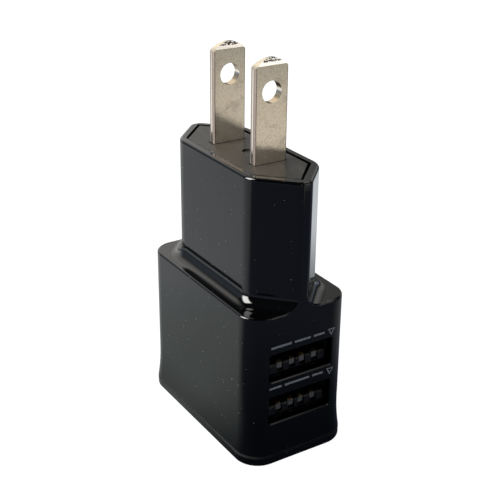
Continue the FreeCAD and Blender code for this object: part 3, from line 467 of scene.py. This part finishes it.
def ferrite():
    """Ground ferrite: dark grey, granular, with chipped corners."""
    m = Material("ferrite")
    grit = m.noise(m.place, 6.0, detail=5.0, roughness=0.75)
    chips = m.multiply(m.edges(0.3), m.smooth(m.noise(m.place, 1.8), 0.5, 0.6))
    tone = m.mix(m.smooth(grit, 0.3, 0.7), grey(0.03), rgb(0.075, 0.072, 0.07))
    tone = m.mix(chips, tone, grey(0.16))
    normal = m.bump(m.add(grit, m.multiply(chips, -2.0)), 0.02)
    return m.finish(Base_Color=tone, Roughness=m.lerp(chips, 0.5, 0.8), Normal=normal)


def bobbin_plastic():
    m = Material("bobbin_plastic")
    cloud = m.noise(m.place, 0.8, detail=4.0)
    tone = m.mix(m.smooth(cloud, 0.3, 0.7), rgb(0.015, 0.015, 0.016), rgb(0.035, 0.033, 0.03))
    tone = m.mix(m.multiply(m.edges(0.15), 0.5), tone, grey(0.08))
    roughness = m.smooth(cloud, 0.3, 0.7, 0.35, 0.5)
    return m.finish(Base_Color=tone, Roughness=roughness, Normal=m.bump(cloud, 0.02))


def winding_tape():
    """Yellow polyester tape with overlapping edges and trapped air."""
    m = Material("winding_tape")
    laps = m.math("FRACT", m.multiply(m.split(m.place)["Z"], 0.45))
    step = m.smooth(laps, 0.0, 0.06)
    air = m.noise(m.place, 1.6, detail=3.0, distortion=0.8)
    tone = m.mix(m.smooth(air, 0.35, 0.7), rgb(0.60, 0.36, 0.035), rgb(0.78, 0.52, 0.08))
    tone = m.mix(m.multiply(m.invert(step), 0.5), tone, rgb(0.40, 0.22, 0.02))
    roughness = m.smooth(air, 0.3, 0.7, 0.2, 0.36)
    return m.finish(Base_Color=tone, Roughness=roughness, Normal=m.bump(m.add(step, air), 0.03))


def shrink_sleeve(name, dark, light):
    """Glossy film sleeve shrunk on a can, with fine puckers and paler edges."""
    m = Material(name)
    pucker = m.noise(m.stretch(m.place, (3.0, 3.0, 0.6)), 1.0, detail=3.0)
    cloud = m.noise(m.place, 0.5, detail=3.0)
    tone = m.mix(m.smooth(cloud, 0.3, 0.7), dark, light)
    tone = m.mix(m.multiply(m.edges(0.4), 0.35), tone, grey(0.25))
    roughness = m.smooth(cloud, 0.3, 0.7, 0.18, 0.3)
    return m.finish(Base_Color=tone, Roughness=roughness, Normal=m.bump(pucker, 0.03))


def capacitor_sleeve():
    return shrink_sleeve("capacitor_sleeve", rgb(0.010, 0.012, 0.03), rgb(0.02, 0.022, 0.05))


def capacitor_sleeve_green():
    return shrink_sleeve("capacitor_sleeve_green", rgb(0.01, 0.10, 0.06), rgb(0.02, 0.18, 0.10))


def resistor_coat():
    """Blue-grey lacquered body with painted bands along its length."""
    m = Material("resistor_coat")
    bands = m.math("FRACT", m.multiply(m.split(m.place)["Z"], 0.55))
    band = m.multiply(m.smooth(bands, 0.12, 0.16), m.smooth(bands, 0.42, 0.38))
    orange_peel = m.noise(m.place, 4.0, detail=3.0)
    tone = m.mix(m.smooth(orange_peel, 0.3, 0.7), rgb(0.10, 0.25, 0.33), rgb(0.14, 0.32, 0.40))
    tone = m.mix(m.multiply(band, 0.85), tone, rgb(0.25, 0.08, 0.02))
    roughness = m.smooth(orange_peel, 0.3, 0.7, 0.3, 0.42)
    return m.finish(Base_Color=tone, Roughness=roughness, Normal=m.bump(orange_peel, 0.02))


def copper_wire():
    """Enamelled copper: warm, glossy, darker where the enamel is thick."""
    m = Material("copper_wire")
    enamel = m.noise(m.place, 1.8, detail=4.0)
    tone = m.mix(m.smooth(enamel, 0.3, 0.7), rgb(0.45, 0.14, 0.045), rgb(0.78, 0.32, 0.13))
    roughness = m.smooth(enamel, 0.3, 0.7, 0.16, 0.3)
    return m.finish(
        Base_Color=tone, Metallic=1.0, Roughness=roughness, Coat_Weight=0.6,
        Normal=m.bump(enamel, 0.01),
    )


def moulded_epoxy(name, dark, light, grain_scale):
    """Moulded chip body: matt, sandy, with paler trimmed edges."""
    m = Material(name)
    sand = m.noise(m.place, grain_scale, detail=4.0, roughness=0.7)
    tone = m.mix(m.smooth(sand, 0.3, 0.7), dark, light)
    tone = m.mix(m.multiply(m.edges(0.1), 0.6), tone, grey(0.14))
    roughness = m.smooth(sand, 0.3, 0.7, 0.5, 0.68)
    return m.finish(Base_Color=tone, Roughness=roughness, Normal=m.bump(sand, 0.01))


def chip_epoxy():
    return moulded_epoxy("chip_epoxy", grey(0.012), grey(0.028), 7.0)


def opto_epoxy():
    return moulded_epoxy("opto_epoxy", grey(0.45), rgb(0.66, 0.65, 0.60), 5.0)


def chip_ceramic():
    return moulded_epoxy("chip_ceramic", rgb(0.22, 0.15, 0.09), rgb(0.34, 0.25, 0.16), 9.0)


def disc_blue():
    """Dipped lacquer over a ceramic disc: glossy, with a soft orange-peel skin."""
    m = Material("disc_blue")
    skin = m.noise(m.place, 1.6, detail=3.0)
    tone = m.mix(m.smooth(skin, 0.3, 0.7), rgb(0.01, 0.07, 0.32), rgb(0.02, 0.12, 0.46))
    roughness = m.smooth(skin, 0.3, 0.7, 0.16, 0.28)
    return m.finish(Base_Color=tone, Roughness=roughness, Normal=m.bump(skin, 0.03))


FINISHES = (
    gloss_shell, gloss_cap, satin_plate, blade_metal, contact_bronze, socket_steel,
    socket_plastic, port_ink, board_green, solder, lead_red, lead_black, ferrite,
    bobbin_plastic, winding_tape, capacitor_sleeve, capacitor_sleeve_green, resistor_coat,
    copper_wire, chip_epoxy, opto_epoxy, chip_ceramic, disc_blue,
)


def dress_nodes(frame, materials):
    """Gives each CAD node the material of its slot in the record."""
    slots = {part["node"]: part["material_slot"] for part in frame["record"]["subparts"]}
    for name, obj in frame["nodes"].items():
        for index in range(len(obj.material_slots)):
            obj.material_slots[index].material = materials[slots[name]]


# -------------------------------------------------------------------- port marks

def triangle_outline(centre, radius, line):
    """Outer and inner corners of an upside-down triangle outline in the XZ plane."""
    angles = [math.radians(-90 + 120 * i) for i in range(3)]
    rings = []
    for r in (radius, radius - 2 * line):
        rings.append([(centre[0] + r * math.cos(a), centre[1] + r * math.sin(a)) for a in angles])
    return rings


def add_prism(mesh, corners, front, depth):
    """Adds a flat plate with the given XZ corners, its front face at Y = front."""
    near = [mesh.verts.new((x, front, z)) for x, z in corners]
    far = [mesh.verts.new((x, front + depth, z)) for x, z in corners]
    mesh.faces.new(near)
    mesh.faces.new(far[::-1])
    count = len(corners)
    for i in range(count):
        j = (i + 1) % count
        mesh.faces.new((near[j], near[i], far[i], far[j]))


def add_ring(mesh, outer, inner, front, depth):
    """Adds a closed flat ring between two loops of XZ corners, its front face at Y = front."""
    back = front + depth
    loops = []
    for corners, y in ((outer, front), (inner, front), (inner, back), (outer, back)):
        loops.append([mesh.verts.new((x, y, z)) for x, z in corners])
    count = len(outer)
    for here, there in zip(loops, loops[1:] + loops[:1]):
        for i in range(count):
            j = (i + 1) % count
            mesh.faces.new((here[i], here[j], there[j], there[i]))


def port_mark(name, port_node, rise, dashes, material):
    """A pointer triangle and a row of plain dashes printed above one socket."""
    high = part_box(port_node)[1]
    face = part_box("housing")[0].y + FOOT_FLARE
    front = face - MARK_HEIGHT
    depth = MARK_HEIGHT + MARK_SINK
    row = high.z + rise
    mesh = bmesh.new()
    outer, inner = triangle_outline((high.x - MARK_INSET, row), MARK_RADIUS, MARK_LINE)
    add_ring(mesh, outer, inner, front, depth)
    x = high.x - DASH_INSET
    for length in dashes:
        left = x - length * MM
        top, bottom = row + DASH_HEIGHT / 2, row - DASH_HEIGHT / 2
        add_prism(mesh, ((left, bottom), (x, bottom), (x, top), (left, top)), front, depth)
        x = left - DASH_GAP
    bmesh.ops.recalc_face_normals(mesh, faces=mesh.faces)
    data = bpy.data.meshes.new(name)
    mesh.to_mesh(data)
    mesh.free()
    obj = bpy.data.objects.new(name, data)
    bpy.context.scene.collection.objects.link(obj)
    data.materials.append(material)
    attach(obj, "charger")


# ------------------------------------------------------------- light and backdrop

def heading(azimuth, elevation):
    """Unit vector; azimuth in degrees from +Y towards +X, elevation above the horizon."""
    a, e = math.radians(azimuth), math.radians(elevation)
    return Vector((math.sin(a) * math.cos(e), math.cos(a) * math.cos(e), math.sin(e)))


def softbox(g, direction, azimuth, elevation, width, height, soft):
    """Mask of a rectangular light far away; sizes are half-angles in degrees."""
    centre = heading(azimuth, elevation)
    side = Vector((0, 0, 1)).cross(centre).normalized()
    top = centre.cross(side)
    ahead = g.dot(direction, centre)
    mask = g.math("GREATER_THAN", ahead, 0.0)
    for axis, half in ((side, width), (top, height)):
        offset = g.math("ABSOLUTE", g.math("DIVIDE", g.dot(direction, axis), ahead))
        edge = math.tan(math.radians(half))
        inner = math.tan(math.radians(max(half - soft, 0.0)))
        mask = g.multiply(mask, g.smooth(offset, edge, inner))
    return mask


def scaled(g, colour, factor):
    made = g.node("ShaderNodeVectorMath", operation="SCALE")
    g.plug(made.inputs[0], colour)
    g.plug(made.inputs["Scale"], factor)
    return made.outputs["Vector"]


# Far lights of the studio: azimuth, elevation, half-width, half-height, softness, strength, colour
LIGHTS = (
    (-65, 31, 17, 27, 8, 17.0, rgb(1.0, 0.99, 0.96)),      # key, left and a little behind
    (-38, 14, 22, 18, 8, 0.4, rgb(0.68, 0.83, 1.0)),       # cool wall behind on the left
    (6, 24, 33, 34, 20, 1.25, rgb(1.0, 0.98, 0.93)),       # broad warm bank behind
    (60, 54, 7, 7, 3, 6.0, rgb(1.0, 0.98, 0.94)),          # small box high on the right
    (64, 20, 30, 18, 20, 0.8, rgb(1.0, 0.98, 0.92)),       # pale wall on the right
    (133, 50, 34, 9, 4, 0.9, rgb(1.0, 0.98, 0.95)),        # strip high in front on the right
    (148, 13, 13, 11, 5, 1.95, rgb(1.0, 0.98, 0.95)),       # low fill in front on the right
)
ROOM = rgb(0.022, 0.026, 0.034)


def studio_world():
    """Almost black room with soft boxes; the camera itself sees plain white."""
    world = bpy.data.worlds.new("studio")
    world.use_nodes = True
    bpy.context.scene.world = world
    g = Graph(world.node_tree)
    for old in list(g.tree.nodes):
        g.tree.nodes.remove(old)
    direction = g.node("ShaderNodeTexCoord").outputs["Generated"]
    colour = ROOM[:3]
    for azimuth, elevation, width, height, soft, strength, tint in LIGHTS:
        mask = softbox(g, direction, azimuth, elevation, width, height, soft)
        total = g.node("ShaderNodeVectorMath", operation="ADD")
        g.plug(total.inputs[0], colour)
        g.plug(total.inputs[1], scaled(g, tint[:3], g.multiply(mask, strength)))
        colour = total.outputs["Vector"]
    seen = g.node("ShaderNodeLightPath").outputs["Is Camera Ray"]
    colour = g.mix(seen, colour, grey(1.0))
    background = g.node("ShaderNodeBackground", {"Color": colour, "Strength": 1.0})
    output = g.node("ShaderNodeOutputWorld")
    g.plug(output.inputs["Surface"], background.outputs[0])


# Floor as reflections see it, in millimetres: painted light and painted shadow, which the floor
# gives out as glow. A border parts the lit floor behind the object from the floor in painted
# shadow in front. The object's painted shade lies on what is near it. A painted dim pool of light
# lies in front on the right. Far away on the left, and in front on the right, the floor is painted
# bright again. Rays that graze the floor see a flat tone, as far-off floor would give.
BORDER_SOFT = 12.0
MIDDLE_SOFT = 8.0
LEFT_BORDER_NEAR = -5.0
LEFT_BORDER_FAR = 6.0
RIGHT_BORDER = 6.0
RIGHT_BORDER_SLANT = 0.45
RIGHT_BORDER_TURN = 52.0
SHADE_REACH = 45.0
SHADE_DEPTH = 0.27
LEFT_SHADE = 0.80
RIGHT_SHADE = 0.32
RIGHT_BRIGHT = 1.45
FAR_GAP = 60.0
FAR_CIRCLE = 160.0
FAR_CIRCLE_SOFT = 15.0
FRONT_EDGE = -123.0
FRONT_EDGE_SOFT = 4.0
FRONT_FADE_START = -135.0
FRONT_FADE_END = -225.0
FRONT_FADE_TO = 0.52
GRAZING_FROM = 0.19
GRAZING_TO = 0.25
FLOOR_NEAR_BRIGHT = rgb(0.55, 0.61, 0.575)
FLOOR_FAR_BRIGHT = rgb(0.67, 0.70, 0.73)
FLOOR_NEAR_DARK = rgb(0.032, 0.040, 0.060)
FLOOR_FAR_DARK = rgb(0.122, 0.140, 0.196)
FLOOR_HORIZON = rgb(0.23, 0.28, 0.34)
FLOOR_POOL = rgb(0.27, 0.28, 0.29)
FLOOR_OUTSIDE = rgb(0.94, 0.915, 0.85)


def distance_from_foot(g, across, along, foot):
    """Distance on the floor from the rectangle under the object."""
    gaps = []
    for value, half in ((across, foot.x), (along, foot.y)):
        gaps.append(g.math("MAXIMUM", g.math("SUBTRACT", value, half / MM), 0.0))
    return g.math("SQRT", g.add(g.multiply(gaps[0], gaps[0]), g.multiply(gaps[1], gaps[1])))


def on_the_right(g, across):
    """Mask of the half of the floor at positive X."""
    return g.smooth(across, -MIDDLE_SOFT, MIDDLE_SOFT)


def floor_border(g, across):
    """Where the border between dark and bright floor runs, as a place along Y."""
    aside = g.math("ABSOLUTE", across)
    left = g.smooth(aside, 20.0, 45.0, LEFT_BORDER_NEAR, LEFT_BORDER_FAR)
    past_turn = g.math("MAXIMUM", g.add(aside, -RIGHT_BORDER_TURN), 0.0)
    right = g.add(g.multiply(past_turn, RIGHT_BORDER_SLANT), RIGHT_BORDER)
    return g.lerp(on_the_right(g, across), left, right)


def bright_floor(g, across, along, gap, far):
    """Colour of the lit floor, with painted shade near the object and on its two sides."""
    closeness = g.math("MAXIMUM", g.invert(g.math("DIVIDE", gap, SHADE_REACH)), 0.0)
    shade = g.invert(g.multiply(closeness, SHADE_DEPTH))
    bearing = g.math("DEGREES", g.math("ARCTAN2", across, along))
    left = g.smooth(bearing, -84.0, -52.0, LEFT_SHADE, 1.0)
    right = g.smooth(across, 42.0, 85.0, RIGHT_SHADE, RIGHT_BRIGHT)
    shade = g.multiply(shade, g.lerp(on_the_right(g, across), left, right))
    return scaled(g, g.mix(far, FLOOR_NEAR_BRIGHT, FLOOR_FAR_BRIGHT), shade)


def shadowed_floor(g, across, along, gap, far):
    """Colour of the floor in painted shadow, with its painted dim pool of light."""
    pool = g.multiply(g.smooth(gap, 6.0, 30.0), g.smooth(gap, 62.0, 46.0),
                      g.smooth(across, 14.0, 62.0), g.smooth(along, -62.0, -30.0))
    return g.mix(pool, g.mix(far, FLOOR_NEAR_DARK, FLOOR_FAR_DARK), FLOOR_POOL)


def outside_mask(g, across, along):
    """Mask of the far floor on the left and of the far floor in front on the right."""
    reach = g.math("SQRT", g.add(g.multiply(across, across), g.multiply(along, along)))
    beyond = g.smooth(reach, FAR_CIRCLE - FAR_CIRCLE_SOFT, FAR_CIRCLE + FAR_CIRCLE_SOFT)
    far_left = g.multiply(beyond, g.smooth(along, -40.0, 0.0), g.smooth(across, 20.0, -20.0))
    front = g.smooth(along, FRONT_EDGE + FRONT_EDGE_SOFT, FRONT_EDGE - FRONT_EDGE_SOFT)
    front = g.multiply(front, g.smooth(across, 30.0, 50.0))
    return g.math("MAXIMUM", far_left, front)


def floor_glow(g, place, foot):
    """Painted light and shadow that the floor sends into reflections."""
    across, along, _ = g.split(g.stretch(place, (1 / MM, 1 / MM, 1 / MM)))
    gap = distance_from_foot(g, g.math("ABSOLUTE", across), g.math("ABSOLUTE", along), foot)
    far = g.smooth(gap, 0.0, FAR_GAP)
    past_border = g.math("SUBTRACT", along, floor_border(g, across))
    lit = g.smooth(past_border, -BORDER_SOFT, BORDER_SOFT)
    dark = shadowed_floor(g, across, along, gap, far)
    colour = g.mix(lit, dark, bright_floor(g, across, along, gap, far))
    fade = g.smooth(along, FRONT_FADE_END, FRONT_FADE_START, FRONT_FADE_TO, 1.0)
    outside = scaled(g, FLOOR_OUTSIDE[:3], fade)
    colour = g.mix(outside_mask(g, across, along), colour, outside)
    incoming = g.node("ShaderNodeNewGeometry").outputs["Incoming"]
    steep = g.smooth(g.split(incoming)["Z"], GRAZING_FROM, GRAZING_TO)
    return g.mix(steep, FLOOR_HORIZON, colour)


def floor_material(foot):
    """Pale floor for the camera; reflections see the painted pattern of light and shadow on it,
    given out as glow.
    """
    data = bpy.data.materials.new("pale_floor")
    data.use_nodes = True
    g = Graph(data.node_tree)
    for old in list(g.tree.nodes):
        g.tree.nodes.remove(old)
    place = g.node("ShaderNodeTexCoord").outputs["Object"]
    reflected = g.node("ShaderNodeEmission", {"Color": floor_glow(g, place, foot)})
    mottle = g.noise(place, 35.0, detail=3.0)
    paper = g.node("ShaderNodeBsdfDiffuse", {"Color": g.mix(mottle, grey(0.10), grey(0.11))})
    glow = g.node("ShaderNodeEmission", {"Color": grey(1.0), "Strength": 0.99})
    seen = g.node("ShaderNodeAddShader")
    g.plug(seen.inputs[0], paper.outputs[0])
    g.plug(seen.inputs[1], glow.outputs[0])
    pick = g.node("ShaderNodeMixShader")
    g.plug(pick.inputs[0], g.node("ShaderNodeLightPath").outputs["Is Camera Ray"])
    g.plug(pick.inputs[1], reflected.outputs[0])
    g.plug(pick.inputs[2], seen.outputs[0])
    output = g.node("ShaderNodeOutputMaterial")
    g.plug(output.inputs["Surface"], pick.outputs[0])
    return data


def add_floor(foot):
    bpy.ops.mesh.primitive_plane_add(size=FLOOR_SIZE, location=(0, 0, -FLOOR_DROP))
    floor = bpy.context.object
    floor.name = "floor"
    floor.data.materials.append(floor_material(foot))
    floor.visible_shadow = False


def add_camera(height):
    """Camera that looks at the object's axis from in front, left and above."""
    a, e, roll = CAMERA_AZIMUTH, CAMERA_ELEVATION, CAMERA_ROLL
    back = Vector((math.sin(a) * math.cos(e), -math.cos(a) * math.cos(e), math.sin(e)))
    right = Vector((math.cos(a), math.sin(a), 0.0))
    up = back.cross(right)
    aim = Vector((0, 0, height * CAMERA_AIM_SHARE)) + right * CAMERA_SHIFT
    turned = Matrix((
        right * math.cos(roll) + up * math.sin(roll),
        up * math.cos(roll) - right * math.sin(roll),
        back,
    )).transposed()
    data = bpy.data.cameras.new("camera")
    data.lens = CAMERA_LENS
    data.sensor_width = SENSOR_WIDTH
    data.clip_start = 10 * MM
    data.clip_end = 20.0
    camera = bpy.data.objects.new("camera", data)
    camera.matrix_world = Matrix.Translation(aim + back * CAMERA_DISTANCE) @ turned.to_4x4()
    bpy.context.scene.collection.objects.link(camera)
    bpy.context.scene.camera = camera


# --------------------------------------------------------------------- assembly

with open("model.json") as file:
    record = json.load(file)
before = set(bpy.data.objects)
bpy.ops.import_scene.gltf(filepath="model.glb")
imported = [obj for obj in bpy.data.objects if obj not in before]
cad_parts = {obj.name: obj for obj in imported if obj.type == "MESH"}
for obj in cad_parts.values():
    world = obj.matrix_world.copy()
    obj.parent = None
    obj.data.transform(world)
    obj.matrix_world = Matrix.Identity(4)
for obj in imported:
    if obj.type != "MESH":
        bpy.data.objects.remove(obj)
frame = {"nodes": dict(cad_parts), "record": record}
cad_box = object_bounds()
materials = {make.__name__: make() for make in FINISHES}
dress_nodes(frame, materials)
ink = materials["port_ink"]
port_mark("upper_port_mark", "upper_socket_shell", UPPER_ROW_RISE, UPPER_DASHES, ink)
port_mark("lower_port_mark", "lower_socket_shell", LOWER_ROW_RISE, LOWER_DASHES, ink)
studio_world()
add_floor(cad_box[1])
add_camera(cad_box[1].z)
bpy.context.scene.view_settings.view_transform = "Standard"
